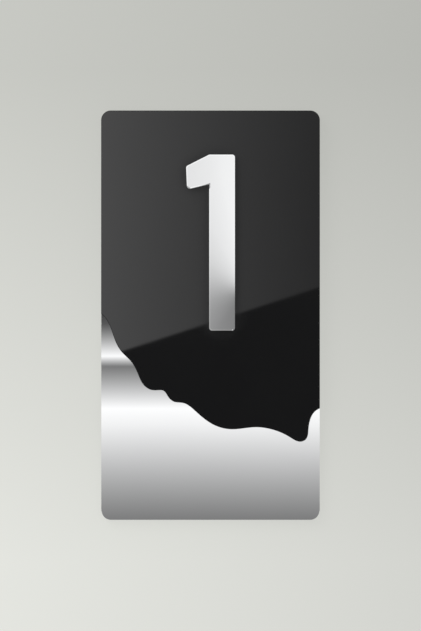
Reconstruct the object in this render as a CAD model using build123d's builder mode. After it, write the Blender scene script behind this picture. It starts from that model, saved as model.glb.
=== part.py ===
"""Door number sign: a mirror-silver plate, a gloss black panel with a wavy lower edge and a raised numeral.

The sign is a stack of laser-cut acrylic sheets, bonded face to face. The frame sits on the door: the
origin is the middle of the plate's outline on the door's face, +Z is up, +X is to the right of someone
facing the door, and the front of the sign looks along -Y.
"""

import os

from build123d import *

# Plate and panel outline
plate_width = 80.0
plate_height = 150.0
corner_radius = 3.5

# Sheets, from the door outwards
tape_thickness = 1.0
plate_thickness = 3.0
panel_thickness = 2.0
numeral_thickness = 3.0
edge_break = 0.2

# Wavy lower edge of the black panel: how high it starts above the plate's bottom edge at the left, and
# how far its deepest trough lies below that start
wave_start_height = 75.6
wave_depth = 46.8

# The wave's line from left to right: share of the width, share of the depth
wave_line = (
    (0.000, 0.000),
    (0.037, 0.083),
    (0.067, 0.222),
    (0.096, 0.302),
    (0.133, 0.365),
    (0.165, 0.457),
    (0.191, 0.549),
    (0.226, 0.593),
    (0.258, 0.597),
    (0.284, 0.600),
    (0.308, 0.652),
    (0.335, 0.688),
    (0.373, 0.696),
    (0.430, 0.759),
    (0.520, 0.872),
    (0.591, 0.902),
    (0.705, 0.886),
    (0.811, 0.920),
    (0.861, 0.962),
    (0.914, 0.999),
    (0.935, 0.983),
    (0.948, 0.902),
    (0.962, 0.800),
    (1.000, 0.739),
)

# Numeral: an upright stem with a short flag to the left of its top
numeral_height = 64.3
numeral_top_margin = 16.2
stem_width = 9.4
flag_reach = 8.45
flag_tip_drop = 4.25
flag_tip_height = 8.4
flag_lean = 0.35
flag_root_drop = 10.85
numeral_corner_radius = 1.0
numeral_chamfer = 0.4

# Strips of double-sided foam tape on the back
tape_width = 12.0
tape_side_margin = 8.0
tape_edge_margin = 12.0

# Every sketch lies in the XZ plane, whose normal points along -Y, out of the door
plate_back = Plane.XZ.offset(tape_thickness)
plate_front = plate_back.offset(plate_thickness)
panel_front = plate_front.offset(panel_thickness)

os.makedirs("parts", exist_ok=True)


def front_edges(sheet):
    """Edges round the face of a sheet that looks out of the door."""
    return sheet.faces().sort_by(Axis.Y)[0].outer_wire().edges()


# Base plate: mirror-silver sheet of the full outline, which shows below the wave
with BuildPart() as base_plate:
    with BuildSketch(plate_back):
        RectangleRounded(plate_width, plate_height, corner_radius)
    extrude(amount=plate_thickness)
    chamfer(front_edges(base_plate), edge_break)

base_plate.part.label = "base_plate"
export_step(base_plate.part, "parts/base_plate.step")

# Black panel: the same outline, cut away below the wave
wave_start = wave_start_height - plate_height / 2
wave_points = [
    ((across - 0.5) * plate_width, wave_start - down * wave_depth) for across, down in wave_line
]
outside_right = plate_width
outside_below = -plate_height

with BuildPart() as black_panel:
    with BuildSketch(plate_front):
        RectangleRounded(plate_width, plate_height, corner_radius)
        with BuildLine():
            wave = Spline(*wave_points)
            Polyline(
                wave @ 1,
                (outside_right, (wave @ 1).Y),
                (outside_right, outside_below),
                (-outside_right, outside_below),
                (-outside_right, (wave @ 0).Y),
                wave @ 0,
            )
        make_face(mode=Mode.SUBTRACT)
    extrude(amount=panel_thickness)
    chamfer(front_edges(black_panel), edge_break)

black_panel.part.label = "black_panel"
export_step(black_panel.part, "parts/black_panel.step")

# Numeral: centred on the plate by its full width, flag included
numeral_width = flag_reach + stem_width
flag_tip = -numeral_width / 2
stem_left = flag_tip + flag_reach
stem_right = stem_left + stem_width
numeral_top = plate_height / 2 - numeral_top_margin
numeral_bottom = numeral_top - numeral_height
flag_top = numeral_top - flag_tip_drop

numeral_outline = (
    (stem_left, numeral_top),
    (stem_right, numeral_top),
    (stem_right, numeral_bottom),
    (stem_left, numeral_bottom),
    (stem_left, numeral_top - flag_root_drop),
    (flag_tip + flag_lean, flag_top - flag_tip_height),
    (flag_tip, flag_top),
)
# The shoulder above the stem and the inner corner under the flag are left sharp
numeral_rounding = (
    0,
    numeral_corner_radius,
    numeral_corner_radius,
    numeral_corner_radius,
    0,
    numeral_corner_radius,
    numeral_corner_radius,
)

with BuildPart() as numeral_one:
    with BuildSketch(panel_front):
        with BuildLine():
            FilletPolyline(*numeral_outline, radius=numeral_rounding, close=True)
        make_face()
    extrude(amount=numeral_thickness)
    chamfer(front_edges(numeral_one), numeral_chamfer)

numeral_one.part.label = "numeral_one"
export_step(numeral_one.part, "parts/numeral_one.step")

# Tape strips: level across the back, near the top, in the middle and near the bottom
tape_length = plate_width - 2 * tape_side_margin
outer_strip_height = plate_height / 2 - tape_edge_margin - tape_width / 2

for place, strip_height in (("upper", outer_strip_height), ("middle", 0), ("lower", -outer_strip_height)):
    with BuildPart() as tape_strip:
        with BuildSketch(Plane.XZ):
            with Locations((0, strip_height)):
                Rectangle(tape_length, tape_width)
        extrude(amount=tape_thickness)

    tape_strip.part.label = f"tape_strip_{place}"
    export_step(tape_strip.part, f"parts/tape_strip_{place}.step")
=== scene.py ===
# %% [markdown]
# This door sign is a stack of laser-cut acrylic sheets: a mirror-silver plate, a gloss black panel
# with a wavy lower edge, and a raised silver numeral, stuck to a door with foam tape. The solids
# already have their true shape, so this lesson is mostly about finish: how a mirror, a gloss black
# and a foam look, and how to light such shiny things. A mirror shows only what stands in front of
# it, so half of the work is in the light around it.

# %% Load the solids
import bpy
import math
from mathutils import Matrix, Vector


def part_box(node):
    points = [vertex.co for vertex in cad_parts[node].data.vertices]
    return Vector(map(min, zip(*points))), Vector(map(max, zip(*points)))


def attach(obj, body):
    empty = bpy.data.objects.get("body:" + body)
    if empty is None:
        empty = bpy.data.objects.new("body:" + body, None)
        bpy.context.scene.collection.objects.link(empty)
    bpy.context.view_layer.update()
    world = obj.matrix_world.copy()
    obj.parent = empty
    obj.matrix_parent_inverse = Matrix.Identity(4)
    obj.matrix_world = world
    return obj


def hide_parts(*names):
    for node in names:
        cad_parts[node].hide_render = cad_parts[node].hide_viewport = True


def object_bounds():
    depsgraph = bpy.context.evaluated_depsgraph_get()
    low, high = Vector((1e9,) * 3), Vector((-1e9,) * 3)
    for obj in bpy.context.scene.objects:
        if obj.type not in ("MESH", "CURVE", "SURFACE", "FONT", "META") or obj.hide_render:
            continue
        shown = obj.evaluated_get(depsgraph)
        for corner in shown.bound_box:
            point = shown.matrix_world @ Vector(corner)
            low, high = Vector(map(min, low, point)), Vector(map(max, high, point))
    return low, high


MM = 0.001

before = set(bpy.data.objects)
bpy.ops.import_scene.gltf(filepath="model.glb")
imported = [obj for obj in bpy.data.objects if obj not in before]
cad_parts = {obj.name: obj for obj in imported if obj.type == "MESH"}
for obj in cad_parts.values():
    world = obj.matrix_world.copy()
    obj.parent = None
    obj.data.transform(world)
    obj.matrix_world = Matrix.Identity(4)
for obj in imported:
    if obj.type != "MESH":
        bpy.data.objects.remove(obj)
cad_low, cad_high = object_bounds()
print("pieces:", sorted(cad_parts))
print("box in mm:", [round(side / MM, 2) for side in cad_high - cad_low])

# %% [markdown]
# Blender's operators act on what is selected and active, so a clean start matters: everything is
# deselected before a new mesh is added. Faces and points are then picked in code, by where they are
# or the way they face, because there is no mouse to pick them with. Switching to face mode first
# matters: in point mode, faces that share all their corners with picked ones would be picked too.

# %% Modelling helpers


def deselect_all():
    """Leave edit mode and select nothing."""
    if bpy.context.mode != "OBJECT":
        bpy.ops.object.mode_set(mode="OBJECT")
    bpy.ops.object.select_all(action="DESELECT")


def pick(piece, kind, test):
    """Open a mesh in edit mode with only those faces or points selected that pass a test."""
    if bpy.context.mode != "EDIT_MESH":
        bpy.ops.object.mode_set(mode="EDIT")
    bpy.ops.mesh.select_mode(type=kind)
    bpy.ops.mesh.select_all(action="DESELECT")
    bpy.ops.object.mode_set(mode="OBJECT")
    parts = piece.data.polygons if kind == "FACE" else piece.data.vertices
    for part in parts:
        part.select = test(part)
    bpy.ops.object.mode_set(mode="EDIT")


def settle():
    """Put the new object's place, turn and size into its mesh."""
    bpy.ops.object.transform_apply(location=True, rotation=True, scale=True)


print("modelling helpers ready")

# %% [markdown]
# A material is a tree of nodes. It could be wired by hand in the shader editor, node by node. Here
# one helper adds a node and fills its inputs, with numbers or with the outputs of other nodes, so
# that each node is one line and the tree can be read from top to bottom.

# %% Add a node


def add_node(tree, kind, inputs=None, **settings):
    """Add a shader node, set its properties, and fill or join its inputs."""
    node = tree.nodes.new("ShaderNode" + kind)
    for key, value in settings.items():
        setattr(node, key, value)
    for key, value in (inputs or {}).items():
        if isinstance(value, bpy.types.NodeSocket):
            tree.links.new(value, node.inputs[key])
        else:
            node.inputs[key].default_value = value
    return node


print("node helper ready")

# %% [markdown]
# Some nodes come up again and again: sums, blends, and the stretch of one range to another. They
# could be written out each time. A short name for each lets a finish read like a recipe.

# %% Nodes used most


def math_node(tree, operation, first, second=0.0):
    """A Math node; each input is a number or a socket."""
    return add_node(tree, "Math", {0: first, 1: second}, operation=operation).outputs[0]


def map_range(tree, value, from_low, from_high, to_low, to_high):
    """A Map Range node that holds its result between the two ends."""
    inputs = {0: value, 1: from_low, 2: from_high, 3: to_low, 4: to_high}
    return add_node(tree, "MapRange", inputs).outputs[0]


def mix_numbers(tree, share, first, second):
    """A Mix node on plain numbers."""
    return add_node(tree, "Mix", {0: share, 2: first, 3: second}, data_type="FLOAT").outputs[0]


def mix_colours(tree, share, first, second):
    """A Mix node on colours."""
    return add_node(tree, "Mix", {0: share, 6: first, 7: second}, data_type="RGBA").outputs[2]


def axes_of(tree, vector):
    """The three parts of a vector."""
    return add_node(tree, "SeparateXYZ", {0: vector}).outputs


print("short names ready")

# %% [markdown]
# Every finish reads Object coordinates, which are metres from the sign's origin, so a pattern has
# its real size and stays where it is on the piece. Generated coordinates would stretch it to each
# piece's box. Noise hardly ever leaves the middle of its range, so it is stretched to run from 0 to
# 1, unless it is wanted whole.

# %% Finish helpers
USUAL_RANGE, WHOLE_RANGE = (0.3, 0.7), (0.0, 1.0)


def place_on_piece(tree):
    """The point that is being shaded, in metres from the sign's origin."""
    return add_node(tree, "TexCoord").outputs["Object"]


def noise(tree, place, per_metre, detail, between=USUAL_RANGE):
    """Noise with so many lumps to the metre, on all axes or on each, stretched to run from 0 to 1."""
    lumps = (per_metre,) * 3 if isinstance(per_metre, (int, float)) else per_metre
    spot = add_node(tree, "Mapping", {"Vector": place, "Scale": lumps}).outputs[0]
    raw = add_node(tree, "TexNoise", {"Vector": spot, "Scale": 1.0, "Detail": detail}).outputs[0]
    return map_range(tree, raw, *between, 0.0, 1.0)


def new_finish(name):
    """A material, its node tree and its Principled shader."""
    finish = bpy.data.materials.new(name)
    finish.use_nodes = True
    tree = finish.node_tree
    return finish, tree, tree.nodes["Principled BSDF"]


def dress(node_name, finish):
    """Give a solid its finish in place of the plain one it came with."""
    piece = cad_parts[node_name]
    piece.data.materials.clear()
    piece.data.materials.append(finish)


print("finish helpers ready")

# %% [markdown]
# The sign is seen square on, and none of its sides show, which says that the camera was far away
# with a long lens. A short lens close by could frame the sign as well, but it would show the
# numeral's sides and make the numeral too large. The distance follows from the lens and from how
# much of the picture's height the plate fills.

# %% Camera
picture_pixels_high = 631
plate_pixels_high = 409.7
lens_mm, sensor_mm = 400.0, 36.0
face_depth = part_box("base_plate")[0].y
view_height = (cad_high.z - cad_low.z) * picture_pixels_high / plate_pixels_high
camera_distance = view_height * lens_mm / sensor_mm
quarter_turn = math.radians(90)
square_on = (quarter_turn, 0, 0)

deselect_all()
bpy.ops.object.camera_add(location=(0, face_depth - camera_distance, 0), rotation=square_on)
camera = bpy.context.object
camera.name = "camera"
camera.data.lens = lens_mm
camera.data.sensor_width = sensor_mm
bpy.context.scene.camera = camera
bpy.context.scene.view_settings.view_transform = "Standard"
print("camera stands", round(camera_distance, 3), "m from the plate's face")

# %% [markdown]
# The sign hangs on something, so a plain pale wall stands right behind the tape. Without it the sign
# would hang in the air and throw no shadow. A plane is enough for a wall, turned upright. It stops
# no light, so that the lamp behind it still reaches the sign's back.

# %% Wall
wall_gap = 0.2 * MM
wall_reach = 3.0

deselect_all()
bpy.ops.mesh.primitive_plane_add(size=2 * wall_reach, location=(0, cad_high.y + wall_gap, 0))
wall = bpy.context.object
wall.name = "wall"
bpy.ops.transform.rotate(value=-quarter_turn, orient_axis="X", center_override=wall.location)
settle()
wall.visible_shadow = False
wall.visible_diffuse = False
print("wall faces", tuple(round(part, 2) for part in wall.data.polygons[0].normal))

# %% [markdown]
# Two small helpers serve the stage round the sign. The first tells rays that carry a picture to the
# eye, straight, off a mirror or through glass, from rays that carry light to things. A surface can
# then look bright and light nothing, where a lamp would brighten the sign as well. The second asks
# each ray which side of a surface it meets, and makes the back clear. A surface could be hidden for
# a view from behind instead, but then the scene would differ from view to view.

# %% Stage helpers


def seen_straight(tree):
    """1 for what is seen, also in a mirror or through glass, and 0 for light that falls on things."""
    path = add_node(tree, "LightPath").outputs
    mirrored = math_node(tree, "MAXIMUM", path["Is Camera Ray"], path["Is Glossy Ray"])
    return math_node(tree, "MAXIMUM", mirrored, path["Is Transmission Ray"])


def clear_from_behind(tree, front):
    """End a stage's tree with its front, and let a camera behind it look through."""
    behind = add_node(tree, "NewGeometry").outputs["Backfacing"]
    clear = add_node(tree, "BsdfTransparent").outputs[0]
    both_sides = add_node(tree, "MixShader", {0: behind, 1: front, 2: clear}).outputs[0]
    tree.links.new(both_sides, tree.nodes["Material Output"].inputs["Surface"])


print("stage helpers ready")

# %% [markdown]
# The wall is darker towards the top and the right, as in a room with its window low on the left. A
# lamp at a flat angle could shade it so, but it would light the sign as well. So the fade is in the
# paint: two colours are mixed over the height, and the right side gets a little less of both.

# %% Wall paint
wall_top, wall_bottom = (0.584, 0.591, 0.556, 1), (0.791, 0.799, 0.757, 1)
wall_right_share = 0.85
wall_fade_up, wall_fade_across = 90 * MM, 75 * MM
wall_roughness, wall_gloss = 0.9, 0.1

wall_paint, tree, shader = new_finish("wall_paint")
axes = axes_of(tree, place_on_piece(tree))
low_share = map_range(tree, axes["Z"], wall_fade_up, -wall_fade_up, 0.0, 1.0)
side_share = map_range(tree, axes["X"], -wall_fade_across, wall_fade_across, 1.0, wall_right_share)
faded = mix_colours(tree, low_share, wall_top, wall_bottom)
faded = add_node(tree, "VectorMath", {0: faded, "Scale": side_share}, operation="SCALE").outputs[0]
tree.links.new(faded, shader.inputs["Base Color"])
shader.inputs["Roughness"].default_value = wall_roughness
shader.inputs["Specular IOR Level"].default_value = wall_gloss
wall.data.materials.append(wall_paint)
print("wall fades over", round(2 * wall_fade_up / MM), "mm")

# %% [markdown]
# Most of the wall's brightness is its own, for the camera and for mirrors only. Stronger lamps would
# make the wall as bright, but they would bleach the sign and darken its shadow. The glow keeps the
# shadow faint, and puts no more light on the sign.

# %% Wall's own light
wall_glow = 0.84

glow_share = math_node(tree, "MULTIPLY", seen_straight(tree), wall_glow)
own_light = add_node(tree, "Emission", {"Color": faded}).outputs[0]
front = add_node(tree, "MixShader", {0: glow_share, 1: shader.outputs[0], 2: own_light}).outputs[0]
clear_from_behind(tree, front)
print("wall's own share of its light:", wall_glow)

# %% [markdown]
# A pale floor runs below the sign. It gives the views from the side and from behind a ground, and it
# throws a little light up. A curved backdrop would hide the line where it ends, but the wall already
# fills the front views. Its underside is clear, as the wall's back is, so that the sign can be
# looked at from below.

# %% Floor
floor_drop = 0.3
floor_side = 12.0
floor_colour = (0.72, 0.72, 0.70, 1)
floor_roughness = 0.8

deselect_all()
bpy.ops.mesh.primitive_plane_add(size=floor_side, location=(0, 0, cad_low.z - floor_drop))
floor = bpy.context.object
floor.name = "floor"
settle()
floor_paint, tree, shader = new_finish("floor_paint")
shader.inputs["Base Color"].default_value = floor_colour
shader.inputs["Roughness"].default_value = floor_roughness
clear_from_behind(tree, shader.outputs[0])
floor.data.materials.append(floor_paint)
print("floor lies", floor_drop, "m below the sign")

# %% [markdown]
# Most of the light comes evenly from the world around, so that colours look as they are written.
# Lamps alone could light the sign, but what faces none of them would fall dark. The camera sees the
# world a little dimmer than the light it gives, so that the backdrop stays a pale grey.

# %% World
room_colour = (0.98, 0.99, 1.0, 1)
room_light, room_backdrop = 0.72, 0.60

world = bpy.data.worlds.new("bright_room")
bpy.context.scene.world = world
world.use_nodes = True
tree = world.node_tree
sky = tree.nodes["Background"]
sky.inputs["Color"].default_value = room_colour
strength = mix_numbers(tree, seen_straight(tree), room_light, room_backdrop)
tree.links.new(strength, sky.inputs["Strength"])
print("world strength", room_light)

# %% [markdown]
# One large soft lamp from the upper left gives the edges a bright and a dark side, and one behind
# the wall lights the back. A single hard lamp would throw a sharp shadow on the wall, which a sign
# in a bright corridor doesn't have.

# %% Lamps
sign_middle = (cad_low + cad_high) / 2
lamp_size = 1.4
key_place, key_power = (-1.2, -1.6, 1.2), 16
back_place, back_power = (-1.0, 1.6, 1.2), 10


def soft_lamp(name, place, power):
    """A square area lamp that looks at the sign."""
    deselect_all()
    bpy.ops.object.light_add(type="AREA", location=place)
    lamp = bpy.context.object
    lamp.name = name
    lamp.data.size = lamp_size
    lamp.data.energy = power
    lamp.rotation_euler = (sign_middle - lamp.location).to_track_quat("-Z", "Y").to_euler()
    print(name, "stands", round((sign_middle - lamp.location).length, 2), "m away")


soft_lamp("key_lamp", key_place, key_power)
soft_lamp("back_lamp", back_place, back_power)

# %% [markdown]
# A product photographer lights chrome with a tent: white and grey cards all round it, which the
# camera can't see but the mirror can. One tent for the whole sign could not give each finish its own
# reflection, so each gets its own: an open box in front of the sign whose inside glows in bands.
# Light linking makes a tent shine on one piece only. The two inner tents are see-through, so that
# each piece can see its own tent behind theirs, and the outer one is solid, so that no piece sees
# past it.

# %% Tent shape
tent_reach = 0.26
tent_depth = 0.22
tent_gap = 0.015
tent_back = cad_high.y
# A face looks a certain way when its normal goes more than half that way
half_turned = 0.5
rays_that_pass = "camera", "diffuse", "transmission", "volume_scatter", "shadow"


def tent_box(name, order):
    """A box round the sign's front, open at the back, and its depth. Order 0 is the outermost."""
    width = 2 * (tent_reach - order * tent_gap)
    depth = tent_depth - order * tent_gap
    tent_front = face_depth - depth
    middle = (0, (tent_front + tent_back) / 2, 0)
    sides = (width, tent_back - tent_front, width)
    deselect_all()
    bpy.ops.mesh.primitive_cube_add(size=1, location=middle, scale=sides)
    tent = bpy.context.object
    tent.name = name
    settle()
    pick(tent, "FACE", lambda face: face.normal.y > half_turned)
    bpy.ops.mesh.delete(type="FACE")
    bpy.ops.object.mode_set(mode="OBJECT")
    return tent, depth


def show_to(tent, piece_name):
    """Let only one piece see a tent, and only as a reflection."""
    for ray in rays_that_pass:
        setattr(tent, "visible_" + ray, False)
    receivers = bpy.data.collections.new(tent.name + "_receivers")
    receivers.objects.link(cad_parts[piece_name])
    tent.light_linking.receiver_collection = receivers


print("tents reach", tent_reach, "m to each side")

# %% [markdown]
# A tent's light is written in millimetres on the sign. The mirror image of a card at distance d,
# seen from distance D, is smaller by 1 + d/D, and the Mapping node takes that out. Brightness could
# be given as light, but it is easier to write as the eye sees it, from 0 to 1, and a power turns it
# into light at the end.

# %% Tent light
display_gamma = 2.2


def light_tent(name, order, piece_name):
    """A tent, ready for its light: its node tree, and its axes in millimetres on the sign."""
    tent, depth = tent_box(name, order)
    show_to(tent, piece_name)
    glow = bpy.data.materials.new(name + "_glow")
    glow.use_nodes = True
    tent.data.materials.append(glow)
    tree = glow.node_tree
    tree.nodes.clear()
    to_sign_mm = 1 / MM / (1 + depth / camera_distance)
    as_seen = {"Vector": place_on_piece(tree), "Scale": (to_sign_mm,) * 3}
    return tree, axes_of(tree, add_node(tree, "Mapping", as_seen).outputs[0])


def light_up(tree, brightness, see_through):
    """End a tent's tree with its light, and let light from behind through or not."""
    strength = math_node(tree, "POWER", brightness, display_gamma)
    surface = add_node(tree, "Emission", {"Strength": strength}).outputs[0]
    if see_through:
        clear = add_node(tree, "BsdfTransparent").outputs[0]
        surface = add_node(tree, "AddShader", {0: surface, 1: clear}).outputs[0]
    output = add_node(tree, "OutputMaterial")
    tree.links.new(surface, output.inputs["Surface"])


print("brightness is raised to", display_gamma)

# %% [markdown]
# Inside a tent the light changes in bands. They could be lamps of their own, but a colour ramp can
# also fade, and a band is changed by one number. A ramp runs from 0 to 1, so the places of its
# stops, in millimetres or in shares, are mapped to that.

# %% Tent bands


def banded(tree, value, stops):
    """A colour ramp through (place, brightness) stops."""
    low, high = stops[0][0], stops[-1][0]
    ramp = add_node(tree, "ValToRGB", {0: map_range(tree, value, low, high, 0.0, 1.0)})
    marks = ramp.color_ramp.elements
    while len(marks) < len(stops):
        marks.new(position=0.5)
    for mark, (place, bright) in zip(marks, stops):
        mark.position = (place - low) / (high - low)
        mark.color = (bright, bright, bright, 1)
    return ramp.outputs[0]


print("band helper ready")

# %% [markdown]
# Chrome reads as chrome through its horizon: brightness that climbs, breaks off sharply and climbs
# again. The bands are level, so only height matters. One ramp could hold them all, but a ramp is
# stored in 256 steps, and over so long a stretch they would blur the break. So the part that faces
# the sign has a ramp of its own. What lies above and below is there for other viewpoints, and a
# coarse ramp does for it. It runs on over the tent's floor, from the sign to the tent's front,
# because a floor of one brightness would make the silver look like grey paint from high above.

# %% Silver bands
# Each stop is a height in millimetres on the sign, and a brightness
silver_bands = (
    (-75, 0.48),
    (-40, 0.945),
    (-34, 1.00),
    (-18.6, 0.47),
    (-14.85, 0.995),
    (-4.0, 0.39),
    (-2.9, 0.335),
    (0, 0.29),
)
floor_of_silver = (
    (-445, 0.45),
    (-400, 0.92),
    (-372, 0.50),
    (-350, 0.62),
    (-318, 0.97),
    (-309, 0.52),
    (-260, 0.42),
)
below_silver = (
    (-205, 0.70),
    (-168, 0.96),
    (-140, 0.52),
    (-124, 0.58),
    (-110, 0.90),
    (-95, 0.38),
    (-75, 0.48),
)
above_silver = ((0, 0.29), (30, 0.50), (110, 0.95))
silver_outer_bands = floor_of_silver + below_silver + above_silver
print("silver bands from", silver_outer_bands[0][0], "to", silver_outer_bands[-1][0], "mm")

# %% [markdown]
# The floor could have a ramp along its depth. Here its depth is counted on below the height of the
# front, as if the floor were folded down, so that one ramp runs over both without a seam. The gain
# makes up for the little light that silver swallows.

# %% Silver tent
silver_gain = 1.045
# Just above the tent's floor, and at its front, in millimetres on the sign
silver_floor, silver_front = -236, -206

tree, axes = light_tent("silver_tent", 0, "base_plate")
deep, up = axes["Y"], axes["Z"]
on_floor = math_node(tree, "LESS_THAN", up, silver_floor)
from_front = math_node(tree, "SUBTRACT", deep, silver_front)
unfolded = math_node(tree, "SUBTRACT", up, math_node(tree, "MULTIPLY", on_floor, from_front))
below = math_node(tree, "LESS_THAN", up, silver_bands[0][0])
above = math_node(tree, "GREATER_THAN", up, silver_bands[-1][0])
off_sign = math_node(tree, "ADD", below, above)
on_band = banded(tree, up, silver_bands)
off_band = banded(tree, unfolded, silver_outer_bands)
brightness = mix_numbers(tree, off_sign, on_band, off_band)
light_up(tree, math_node(tree, "MULTIPLY", brightness, silver_gain), see_through=False)
print("silver's light is raised by", round(100 * (silver_gain - 1), 1), "percent")

# %% [markdown]
# Black acrylic reflects about four percent of what faces it, so its look is the shape of a bright
# card with a sharp slanted edge. In a studio that is a softbox with a flag hung askew before it. It
# could be a plane of its own, but as a formula on the tent it needs no mesh, and its edge is as soft
# as one number says. The card is brightest on the left. Below the edge there is hardly any light,
# and the panel turns black. The tent's sides are dimmer than its front, because at a flat angle even
# black acrylic reflects nearly everything, and its rounded corners would show white.

# %% Black tent
slant = 0.3243
slant_height = -2.62
slant_softness = 0.55
card_half_width = 40
card_left, card_right = 1.22, 0.68
below_card = 0.28
dim_from, dim_to, dim_share = -185, -120, 0.4

tree, (across, deep, up) = light_tent("black_tent", 1, "black_panel")
rise = math_node(tree, "SUBTRACT", up, math_node(tree, "MULTIPLY", across, slant))
edge_low, edge_high = slant_height - slant_softness, slant_height + slant_softness
above = map_range(tree, rise, edge_low, edge_high, 0.0, 1.0)
card = map_range(tree, across, -card_half_width, card_half_width, card_left, card_right)
dimmed = map_range(tree, deep, dim_from, dim_to, 1.0, dim_share)
brightness = mix_numbers(tree, above, below_card, card)
light_up(tree, math_node(tree, "MULTIPLY", brightness, dimmed), see_through=True)
print("slant in degrees:", round(math.degrees(math.atan(slant)), 2))

# %% [markdown]
# The numeral shows a pale field above and a grey one below. The change is soft and high on the left,
# and crisper and lower on the right, as when a card's edge comes nearer. A smooth blend between the
# two would look too even, so a ramp gives the change its shape, in shares of its length.

# %% Numeral tent: the two fields
numeral_half_width = 9
pale_left, pale_right = 0.93, 0.985
grey_left, grey_right = 0.585, 0.52
fade_height_left, fade_height_right = 12.3, 9.9
fade_left, fade_right = 13.4, 4.3
numeral_fade = (
    (-1.5, 0.00),
    (-0.85, 0.10),
    (-0.5, 0.21),
    (-0.15, 0.41),
    (0.2, 0.61),
    (0.55, 0.75),
    (0.9, 0.83),
    (1.6, 0.92),
    (2.6, 0.96),
    (4.4, 1.00),
)

tree, (across, deep, up) = light_tent("numeral_tent", 2, "numeral_one")
pale = map_range(tree, across, -numeral_half_width, numeral_half_width, pale_left, pale_right)
grey = map_range(tree, across, 0, numeral_half_width, grey_left, grey_right)
fade_length = map_range(tree, across, 0, numeral_half_width, fade_left, fade_right)
fade_middle = map_range(tree, across, 0, numeral_half_width, fade_height_left, fade_height_right)
fade_place = math_node(tree, "DIVIDE", math_node(tree, "SUBTRACT", up, fade_middle), fade_length)
fade = banded(tree, fade_place, numeral_fade)
brightness = mix_numbers(tree, fade, grey, pale)
print("numeral fade from", fade_left, "to", fade_right, "mm")

# %% [markdown]
# The chamfer round the numeral looks sideways, at the sides of the tent. They are mostly a little
# brighter than the front, so that the chamfer draws a fine bright line, and low on the right they
# are no brighter. Cards on the four sides would do it too. A lift that grows towards the tent's rim
# is one formula, and it follows the two fields by itself.

# %% Numeral tent: the sides
rim_near, rim_far = 110, 180
pale_lift_left, pale_lift_right = 0.07, 0.02
grey_lift_left, grey_lift_right = 0.06, -0.01

pale_lift = map_range(tree, across, -rim_near, rim_near, pale_lift_left, pale_lift_right)
grey_lift = map_range(tree, across, -rim_near, rim_near, grey_lift_left, grey_lift_right)
rim_lift = mix_numbers(tree, fade, grey_lift, pale_lift)
sideways = math_node(tree, "ABSOLUTE", across)
upward = math_node(tree, "ABSOLUTE", up)
outward = math_node(tree, "MAXIMUM", sideways, upward)
rim = map_range(tree, outward, rim_near, rim_far, 0.0, rim_lift)
brightness = math_node(tree, "ADD", brightness, rim)
print("sides are up to", pale_lift_left, "brighter")

# %% [markdown]
# A few cards complete the tent. One on its floor lights the chamfer under the numeral's flag. Bands
# across the floor and a bright hump low on the front are there for viewpoints from above, and a grey
# card high on the front for those from below. Without them a mirror shows one even field there, and
# looks like paint.

# %% Numeral tent: the cards
# Just above the tent's floor, and just behind its front, in millimetres on the sign
floor_height, front_depth = -200, -175
floor_card = ((30, 0.03), (42, 0.50), (62, 0.50), (75, 0.03))
floor_bands = ((-182, 0.0), (-162, 0.40), (-146, 0.08), (-122, 0.32), (-70, 0.0))
low_lift = ((-190, 0.0), (-150, 0.2), (-95, 0.3), (-40, 0.0))
high_dip = ((66, 0.0), (88, 0.38), (130, 0.12), (170, 0.0))

on_floor = math_node(tree, "LESS_THAN", up, floor_height)
on_front = math_node(tree, "LESS_THAN", deep, front_depth)
lit_cards = (
    (on_floor, banded(tree, across, floor_card)),
    (on_floor, banded(tree, deep, floor_bands)),
    (on_front, banded(tree, up, low_lift)),
)
for side, card in lit_cards:
    brightness = math_node(tree, "ADD", brightness, math_node(tree, "MULTIPLY", side, card))
grey_card = math_node(tree, "MULTIPLY", on_front, banded(tree, up, high_dip))
light_up(tree, math_node(tree, "SUBTRACT", brightness, grey_card), see_through=True)
print("floor card from", floor_card[0][0], "to", floor_card[-1][0], "mm")

# %% [markdown]
# A cut sheet has four kinds of surface: the polished face, the fine break along the face's edge, the
# cut side, and the back. They could be four materials on four sets of faces. One material that asks
# which way a surface points is simpler here, because in a flat sheet that alone tells them apart. A
# surface is a colour, a roughness and a height, and one surface is laid over another by a mask.
# Heights are in thousandths of a millimetre.

# %% Surface helpers
MICRON = 0.001 * MM
fully_turned = 0.9


def toward_back(tree):
    """How far a surface looks to the back: 1 on the back, 0 on the sides, -1 on the face."""
    normal = add_node(tree, "TexCoord").outputs["Normal"]
    return axes_of(tree, normal)["Y"]


def face_masks(tree):
    """Masks that are 1 on the face with its edge break, and on the edge break alone."""
    turn = toward_back(tree)
    face = math_node(tree, "LESS_THAN", turn, -half_turned)
    flat_face = math_node(tree, "LESS_THAN", turn, -fully_turned)
    return face, math_node(tree, "SUBTRACT", face, flat_face)


def lay_over(tree, mask, lower, upper):
    """One surface over another where the mask is 1."""
    colour = mix_colours(tree, mask, lower[0], upper[0])
    rough = mix_numbers(tree, mask, lower[1], upper[1])
    height = mix_numbers(tree, mask, lower[2], upper[2])
    return colour, rough, height


def finish_with(tree, shader, surface):
    """Join a surface to the shader."""
    colour, rough, height = surface
    tree.links.new(colour, shader.inputs["Base Color"])
    tree.links.new(rough, shader.inputs["Roughness"])
    bump = add_node(tree, "Bump", {"Strength": 1.0, "Distance": MICRON, "Height": height})
    tree.links.new(bump.outputs[0], shader.inputs["Normal"])


print("surface helpers ready")

# %% [markdown]
# The laser leaves fine streaks through the sheet's thickness, and a slower ripple where it changed
# speed. Real grooves would take thousands of faces. Noise that is squeezed along the edge and drawn
# out across it gives both as bump and colour.

# %% Cut sides
streaks_per_metre = (2600, 120, 2600)
ripples_per_metre = (700, 60, 700)
streak_height, ripple_height = 3.2, 8.0


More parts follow.
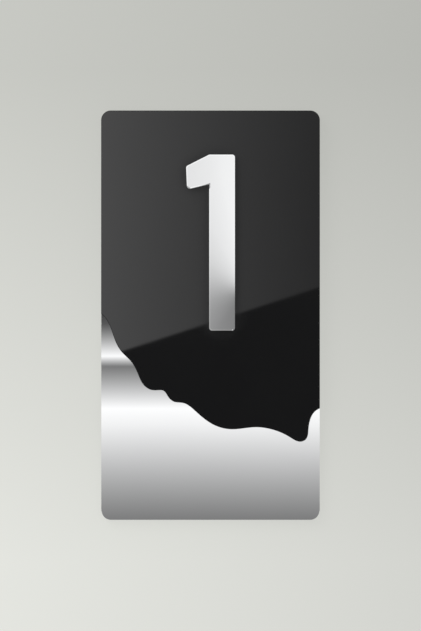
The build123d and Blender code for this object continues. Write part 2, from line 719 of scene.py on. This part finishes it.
def laser_cut(tree, place, dark, light, roughness):
    """The side that the laser leaves: fine streaks through the sheet, a little frosted."""
    streaks = noise(tree, place, streaks_per_metre, detail=3)
    ripple = noise(tree, place, ripples_per_metre, detail=1)
    colour = mix_colours(tree, streaks, dark, light)
    rough = map_range(tree, ripple, 0, 1, *roughness)
    streak_part = math_node(tree, "MULTIPLY", streaks, streak_height)
    ripple_part = math_node(tree, "MULTIPLY", ripple, ripple_height)
    return colour, rough, math_node(tree, "ADD", streak_part, ripple_part)


print("streaks are", round(1 / MM / streaks_per_metre[0], 2), "mm wide")

# %% [markdown]
# A polished face is never evenly clean or flat. There is a faint haze on it, with level marks from a
# cloth, and the sheet sags by a hundredth of a millimetre or two, so that a reflected line wanders.
# Its edge break is rubbed by handling. Even numbers would look like a drawing, so each comes from
# noise of its own size.

# %% Polished faces
haze_per_metre = 45
cloth_marks_per_metre = (14, 14, 420)
clean_haze, full_haze = 0.15, 0.42
sag_per_metre = 14
rubs_per_metre = 900


def wiped(tree, place, roughness):
    """Roughness of a polished face: a faint cloud of haze, and level marks from a cloth."""
    haze = noise(tree, place, haze_per_metre, detail=5, between=WHOLE_RANGE)
    cloth = noise(tree, place, cloth_marks_per_metre, detail=3, between=WHOLE_RANGE)
    both = math_node(tree, "MULTIPLY", haze, cloth)
    return map_range(tree, both, clean_haze, full_haze, *roughness)


def sagging(tree, place, height):
    """The long, low waves of a sheet that isn't quite flat."""
    waves = noise(tree, place, sag_per_metre, detail=0, between=WHOLE_RANGE)
    return math_node(tree, "MULTIPLY", waves, height)


def rubbed(tree, place):
    """Small patches along an edge where handling has worn it."""
    return noise(tree, place, rubs_per_metre, detail=4)


print("sheet sags every", round(1 / MM / sag_per_metre), "mm")

# %% [markdown]
# Mirror acrylic is a clear sheet with silver behind it: a bright face, and sides that look like
# frosted glass where the laser cut them. A plain metal shader would give the face but not the sides.
# Here the face is metal, and the sides are clear plastic.

# %% Mirror silver
acrylic_ior = 1.49
cut_dark, cut_light = (0.36, 0.385, 0.39, 1), (0.60, 0.63, 0.635, 1)
cut_roughness = 0.2, 0.36
rubbed_rougher = 1.6
tarnish_per_metre = 30


def mirror_silver(tree, shader, place, bright, dull, roughness, sag):
    """Silvered acrylic: a polished face with a slightly worn edge break, and laser-cut sides."""
    face_mask, break_mask = face_masks(tree)
    sides = laser_cut(tree, place, cut_dark, cut_light, cut_roughness)
    tarnish = noise(tree, place, tarnish_per_metre, detail=3)
    waves = sagging(tree, place, sag)
    face = mix_colours(tree, tarnish, bright, dull), wiped(tree, place, roughness), waves
    rub = rubbed(tree, place)
    worn_range = [rubbed_rougher * rough for rough in roughness]
    worn_rough = map_range(tree, rub, 0, 1, *worn_range)
    worn = mix_colours(tree, rub, bright, dull), worn_rough, waves
    tree.links.new(face_mask, shader.inputs["Metallic"])
    shader.inputs["IOR"].default_value = acrylic_ior
    return lay_over(tree, break_mask, lay_over(tree, face_mask, sides, face), worn)


print("mirror silver ready")

# %% [markdown]
# The numeral is small and its back is glued down, so the face, the chamfer and the sides are all
# that it needs. It could share the plate's finish, but a small piece is polished by hand and comes
# out a little rougher, so it has numbers of its own.

# %% Silver numeral
numeral_bright, numeral_dull = (0.925, 0.93, 0.935, 1), (0.905, 0.91, 0.917, 1)
numeral_roughness = 0.03, 0.05
numeral_sag = 8

silver_numeral, tree, shader = new_finish("silver_numeral")
place = place_on_piece(tree)
surface = mirror_silver(
    tree, shader, place, numeral_bright, numeral_dull, numeral_roughness, numeral_sag
)
finish_with(tree, shader, surface)
dress("numeral_one", silver_numeral)
print("silver on the numeral")

# %% [markdown]
# The plate has the same silver on a larger sheet. It is better polished, because a reflected band
# shows every fault, but it sags a little more. Its back shows too, and is laid on next.

# %% Silver plate
plate_bright, plate_dull = (0.915, 0.92, 0.925, 1), (0.900, 0.905, 0.912, 1)
plate_roughness = 0.010, 0.024
plate_sag = 20

silver_plate, tree, shader = new_finish("silver_plate")
place = place_on_piece(tree)
surface = mirror_silver(tree, shader, place, plate_bright, plate_dull, plate_roughness, plate_sag)
dress("base_plate", silver_plate)
print("silver on the plate's face")

# %% [markdown]
# The back of a mirror sheet is grey paint that keeps the silver from scratches. It has the fine
# grain and orange-peel skin of sprayed paint, and a few upright scuffs. A picture of sprayed paint
# would do for the grain, but noise has no seams and no end.

# %% Painted back
paint_dark, paint_light = (0.275, 0.285, 0.295, 1), (0.335, 0.345, 0.355, 1)
grain_colour, scuff_colour = (0.20, 0.205, 0.21, 1), (0.48, 0.49, 0.50, 1)
mottle_per_metre, grain_per_metre, skin_per_metre = 60, 2400, 1100
scuffs_per_metre, scuff_range = (900, 900, 25), (0.70, 0.78)
grain_share, scuff_share = 0.35, 0.5
paint_roughness = 0.46, 0.60
skin_height = 14

mottle = noise(tree, place, mottle_per_metre, detail=5)
grain = math_node(tree, "MULTIPLY", noise(tree, place, grain_per_metre, detail=2), grain_share)
scuffs = noise(tree, place, scuffs_per_metre, detail=2, between=scuff_range)
paint = mix_colours(tree, mottle, paint_dark, paint_light)
paint = mix_colours(tree, grain, paint, grain_colour)
paint = mix_colours(tree, math_node(tree, "MULTIPLY", scuffs, scuff_share), paint, scuff_colour)
paint_rough = map_range(tree, mottle, 0, 1, *paint_roughness)
skin_bumps = noise(tree, place, skin_per_metre, detail=2, between=WHOLE_RANGE)
skin = math_node(tree, "MULTIPLY", skin_bumps, skin_height)
print("paint is grey, with a skin", skin_height, "thousandths of a millimetre high")

# %% [markdown]
# The laser's heat has scorched the paint along the rim, in a ragged darker line. It could be painted
# on by hand. It is found here by measuring how far a point lies inside the plate's rounded outline,
# so that it follows the corners by itself.

# %% Scorched rim
corner_radius = 3.5 * MM
scorch_colour = (0.11, 0.105, 0.10, 1)
scorch_width = 1.3 * MM
scorch_core, ragged_width = 0.3 * scorch_width, 0.6 * scorch_width
scorch_strength = 0.75
flecks_per_metre = 500


def depth_inside_outline(tree, place, half_width, half_height, radius):
    """How far a point lies inside a rounded rectangle, in metres."""
    axes = axes_of(tree, place)
    across, up = math_node(tree, "ABSOLUTE", axes["X"]), math_node(tree, "ABSOLUTE", axes["Z"])
    out_across = math_node(tree, "SUBTRACT", across, half_width - radius)
    out_up = math_node(tree, "SUBTRACT", up, half_height - radius)
    corner_across = math_node(tree, "MAXIMUM", out_across, 0.0)
    corner_up = math_node(tree, "MAXIMUM", out_up, 0.0)
    corner = add_node(tree, "CombineXYZ", {"X": corner_across, "Y": corner_up}).outputs[0]
    from_corner = add_node(tree, "VectorMath", {0: corner}, operation="LENGTH").outputs["Value"]
    from_side = math_node(tree, "MINIMUM", math_node(tree, "MAXIMUM", out_across, out_up), 0.0)
    return math_node(tree, "SUBTRACT", radius, math_node(tree, "ADD", from_corner, from_side))


inside = depth_inside_outline(tree, place, cad_high.x, cad_high.z, corner_radius)
flecks = noise(tree, place, flecks_per_metre, detail=3, between=WHOLE_RANGE)
from_rim = math_node(tree, "ADD", inside, math_node(tree, "MULTIPLY", flecks, ragged_width))
scorch = map_range(tree, from_rim, scorch_core, scorch_width, scorch_strength, 0.0)
paint = mix_colours(tree, scorch, paint, scorch_colour)
back_mask = math_node(tree, "GREATER_THAN", toward_back(tree), half_turned)
finish_with(tree, shader, lay_over(tree, back_mask, surface, (paint, paint_rough, skin)))
print("scorched", round(scorch_width / MM, 2), "mm in from the rim")

# %% [markdown]
# Cast black acrylic is black all through, with a clear gloss on top that shows the cards of its
# tent. Close to the numeral the gloss is duller and the black a little paler: this is painted
# shade, a soft halo round the raised numeral put into the finish. A mask could be drawn round the
# numeral by hand. Ambient Occlusion follows the numeral by itself: it measures how much of the sky
# above a point something near it hides.

# %% Painted shade round the numeral
painted_halo_reach = 7.0 * MM
halo_starts, halo_full = 0.96, 0.70
# The lower specular level near the numeral is painted shade on the gloss, a soft halo round the
# raised numeral
gloss, painted_shade_gloss = 0.5, 0.275
sky_samples = 24

gloss_black, tree, shader = new_finish("gloss_black")
near = {"Distance": painted_halo_reach}
open_sky = add_node(tree, "AmbientOcclusion", near, samples=sky_samples).outputs["AO"]
painted_halo = map_range(tree, open_sky, halo_starts, halo_full, 0.0, 1.0)
tree.links.new(mix_numbers(tree, painted_halo, gloss, painted_shade_gloss), shader.inputs["Specular IOR Level"])
print("polish reaches", round(painted_halo_reach / MM, 1), "mm from the numeral")

# %% [markdown]
# The panel is cut and handled as the silver is, so it has the same kinds of surface: a polished
# face, a rubbed edge break and streaked sides. One black with one roughness would look like a hole.
# Blacks that differ by a hair, a haze and a low sag make it a sheet.

# %% Gloss black
deep_black, soft_black = (0.0072, 0.0072, 0.0076, 1), (0.0084, 0.0084, 0.0088, 1)
# The first is the paler black of the painted halo round the numeral; the second is wear on the edge
# break
painted_halo_black, rubbed_black = (0.0205, 0.0205, 0.021, 1), (0.024, 0.024, 0.025, 1)
black_cut_dark, black_cut_light = (0.006, 0.006, 0.0065, 1), (0.016, 0.016, 0.017, 1)
black_cut_roughness = 0.09, 0.2
black_roughness, rubbed_roughness = (0.02, 0.036), 0.08
black_patches_per_metre = 35
black_sag = 24

place = place_on_piece(tree)
face_mask, break_mask = face_masks(tree)
sides = laser_cut(tree, place, black_cut_dark, black_cut_light, black_cut_roughness)
patches = noise(tree, place, black_patches_per_metre, detail=4)
black = mix_colours(tree, patches, deep_black, soft_black)
waves = sagging(tree, place, black_sag)
# Near the numeral the face is mixed towards the paler black of the painted halo
face = mix_colours(tree, painted_halo, black, painted_halo_black), wiped(tree, place, black_roughness), waves
worn = mix_colours(tree, rubbed(tree, place), deep_black, rubbed_black), rubbed_roughness, waves
surface = lay_over(tree, break_mask, lay_over(tree, face_mask, sides, face), worn)
finish_with(tree, shader, surface)
shader.inputs["IOR"].default_value = acrylic_ior
dress("black_panel", gloss_black)
print("gloss black on the panel")

# %% [markdown]
# Three strips of double-sided foam tape hold the sign to the door. A strip is a foam core between
# two thin adhesive films, cut to length with scissors, so that its ends are never quite square, and
# its soft sides draw in a little between the films. A plain box shows none of that. Here a box is
# trimmed at both ends along slanted planes, and cut into its layers and into short lengths, so that
# it can bend where foam bends.

# %% Trim and slice a strip
film_thickness = 0.1 * MM
strip_step = 2.0 * MM


def slice_open_mesh(place, normal, trim=False):
    """Cut the mesh that is open along a plane, and throw away what lies beyond it if asked."""
    bpy.ops.mesh.select_all(action="SELECT")
    bpy.ops.mesh.bisect(plane_co=place, plane_no=normal, clear_outer=trim, use_fill=trim)


def sliced_strip(node_name, left_slant, right_slant):
    """A box in the place of a plain strip, with slanted ends, cut into layers and short lengths."""
    low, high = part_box(node_name)
    middle, size = (low + high) / 2, high - low
    deselect_all()
    bpy.ops.mesh.primitive_cube_add(size=1, location=middle, scale=size)
    strip = bpy.context.object
    strip.name = node_name.replace("tape_strip", "foam_strip")
    settle()
    bpy.ops.object.mode_set(mode="EDIT")
    for end, side, slant in ((low.x, -1, left_slant), (high.x, 1, right_slant)):
        cut_place = (end - side * abs(slant) / 2, middle.y, middle.z)
        slice_open_mesh(cut_place, (side, 0, slant / size.z), trim=True)
    for depth in (film_thickness, size.y / 2, size.y - film_thickness):
        slice_open_mesh((0, low.y + depth, 0), (0, 1, 0))
    for step in range(1, round(size.x / strip_step)):
        slice_open_mesh((low.x + step * strip_step, 0, 0), (1, 0, 0))
    for step in range(1, round(size.z / strip_step)):
        slice_open_mesh((0, 0, low.z + step * strip_step), (0, 0, 1))
    return strip, middle, size


print("strips are sliced every", round(strip_step / MM, 1), "mm")

# %% [markdown]
# The middle of the strip's side is drawn in by scaling the middle layer of points. A Displace
# modifier with a cloud texture then makes the sides uneven, and a Bevel rounds the films. Moving
# points by hand would do too, but a texture is quicker for hundreds of them, and gives the same
# result each time.

# %% Soften a strip
side_draw = 0.22 * MM
side_wander, wander_size = 0.16 * MM, 3.0 * MM
film_round, film_round_steps = 0.04 * MM, 2
# Edges sharper than the first are rounded, and those flatter than the second look smooth
film_corner, smooth_corner = math.radians(50), math.radians(40)
clouds = bpy.data.textures.new("side_wander", "CLOUDS")
clouds.noise_scale = wander_size


def apply_modifier(piece, name, kind, **settings):
    """Add a modifier, set it up and apply it."""
    modifier = piece.modifiers.new(name, kind)
    for key, value in settings.items():
        setattr(modifier, key, value)
    bpy.ops.object.modifier_apply(modifier=name)


def soften(strip, middle, size):
    """Draw the foam in between its films, make its sides uneven and round the films' edges."""
    pick(strip, "VERT", lambda point: abs(point.co.y - middle.y) < film_thickness)
    waist = (1 - 2 * side_draw / size.x, 1, 1 - 2 * side_draw / size.z)
    bpy.ops.transform.resize(value=waist, center_override=middle)
    bpy.ops.object.vertex_group_assign_new()
    bpy.ops.object.mode_set(mode="OBJECT")
    group = strip.vertex_groups[0].name
    uneven = {"texture": clouds, "strength": side_wander, "vertex_group": group}
    apply_modifier(strip, "uneven", "DISPLACE", **uneven)
    rounded = {"width": film_round, "segments": film_round_steps, "angle_limit": film_corner}
    apply_modifier(strip, "rounded", "BEVEL", **rounded)
    bpy.ops.object.shade_smooth_by_angle(angle=smooth_corner)


print("sides draw in", round(side_draw / MM, 2), "mm")

# %% [markdown]
# The three strips are made the same way, each with its own two slants, as scissors leave them. A
# copy of one strip would repeat its slants and its unevenness.

# %% Three strips
strip_slants = {
    "tape_strip_upper": (0.5 * MM, -0.35 * MM),
    "tape_strip_middle": (-0.3 * MM, 0.6 * MM),
    "tape_strip_lower": (0.4 * MM, 0.45 * MM),
}

strips = []
for node_name, (left_slant, right_slant) in strip_slants.items():
    strip, middle, size = sliced_strip(node_name, left_slant, right_slant)
    soften(strip, middle, size)
    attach(strip, "root")
    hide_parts(node_name)
    strips.append(strip)
    print(strip.name, "has", len(strip.data.polygons), "faces")

# %% [markdown]
# The foam is white and full of tiny closed cells, which show on the cut sides. The film on its face
# is another surface. They could be two materials, but one with a mask needs no faces sorted: film is
# what looks to the front or the back, or lies within the film's thickness of them.

# %% Foam
cells_per_metre = 2800
cell_height = 60
foam_dark, foam_light = (0.66, 0.66, 0.645, 1), (0.84, 0.84, 0.825, 1)
foam_roughness = 0.95, 0.75
strip_low, strip_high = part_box("tape_strip_middle")
strip_size = strip_high - strip_low
strip_depth = (strip_low.y + strip_high.y) / 2

foam_tape, tree, shader = new_finish("foam_tape")
place = place_on_piece(tree)
across, deep, up = axes_of(tree, place)
turned = math_node(tree, "ABSOLUTE", toward_back(tree))
from_middle = math_node(tree, "ABSOLUTE", math_node(tree, "SUBTRACT", deep, strip_depth))
film_edge = math_node(tree, "GREATER_THAN", from_middle, strip_size.y / 2 - film_thickness)
film_face = math_node(tree, "GREATER_THAN", turned, half_turned)
film_mask = math_node(tree, "MAXIMUM", film_face, film_edge)
cells = add_node(tree, "TexVoronoi", {"Vector": place, "Scale": cells_per_metre}).outputs["Distance"]
foam_rough = map_range(tree, cells, 0, 1, *foam_roughness)
pits = math_node(tree, "MULTIPLY", cells, cell_height)
foam = mix_colours(tree, cells, foam_dark, foam_light), foam_rough, pits
print("foam cells are", round(1 / MM / cells_per_metre, 2), "mm across")

# %% [markdown]
# The film is smooth and slightly yellow, and because it is tacky, it is grey with dust along its
# rim. All three strips share one finish. Wrapping the height by the spacing of the strips gives each
# one its own middle to measure the rim from, where three finishes would only differ in a number.

# %% Dusty film
film_white, film_yellow = (0.80, 0.795, 0.765, 1), (0.74, 0.732, 0.695, 1)
dust_colour = (0.42, 0.41, 0.39, 1)
dust_width = 0.9 * MM
dust_thick, dust_gone = 0.3 * dust_width, 1.3 * dust_width
dust_strength = 0.6
specks_per_metre, tint_per_metre = 1500, 140
strip_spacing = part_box("tape_strip_upper")[1].z - strip_high.z

wrap = {0: up, 1: strip_spacing / 2, 2: -strip_spacing / 2}
strip_up = add_node(tree, "Math", wrap, operation="WRAP").outputs[0]
in_across = math_node(tree, "SUBTRACT", strip_size.x / 2, math_node(tree, "ABSOLUTE", across))
in_up = math_node(tree, "SUBTRACT", strip_size.z / 2, math_node(tree, "ABSOLUTE", strip_up))
specks = math_node(tree, "MULTIPLY", noise(tree, place, specks_per_metre, detail=4), dust_width)
from_rim = math_node(tree, "ADD", math_node(tree, "MINIMUM", in_across, in_up), specks)
dust = map_range(tree, from_rim, dust_thick, dust_gone, dust_strength, 0.0)
tint = noise(tree, place, tint_per_metre, detail=5)
film_colour = mix_colours(tree, tint, film_white, film_yellow)
film_colour = mix_colours(tree, dust, film_colour, dust_colour)
print("strips stand", round(strip_spacing / MM, 2), "mm apart")

# %% [markdown]
# The paper that was peeled off the film has left its fine diamond print. It is two sets of slanted
# waves, multiplied. A mesh of diamonds would be far heavier for a mark that is a hundredth of a
# millimetre deep. A Wave texture of scale 1 repeats every pi / 10 metres, and its scale follows from
# that.

# %% Diamond print
print_pitch = 0.9 * MM
print_slants = math.radians(45), math.radians(-45)
print_height, dent_height = 8, 40
dents_per_metre = 260
film_roughness = 0.28, 0.42
wave_length = math.pi / 10

diagonals = []
for turn in print_slants:
    turned_place = {"Vector": place, "Rotation": (0, turn, 0)}
    spot = add_node(tree, "Mapping", turned_place).outputs[0]
    wave = {"Vector": spot, "Scale": wave_length / print_pitch}
    diagonals.append(add_node(tree, "TexWave", wave, bands_direction="X").outputs["Fac"])
diamonds = math_node(tree, "MULTIPLY", math_node(tree, "MULTIPLY", *diagonals), print_height)
dents = noise(tree, place, dents_per_metre, detail=2, between=WHOLE_RANGE)
film_height = math_node(tree, "ADD", diamonds, math_node(tree, "MULTIPLY", dents, dent_height))
film = film_colour, map_range(tree, tint, 0, 1, *film_roughness), film_height
finish_with(tree, shader, lay_over(tree, film_mask, foam, film))
for strip in strips:
    strip.data.materials.append(foam_tape)
print("diamonds every", round(print_pitch / MM, 2), "mm")
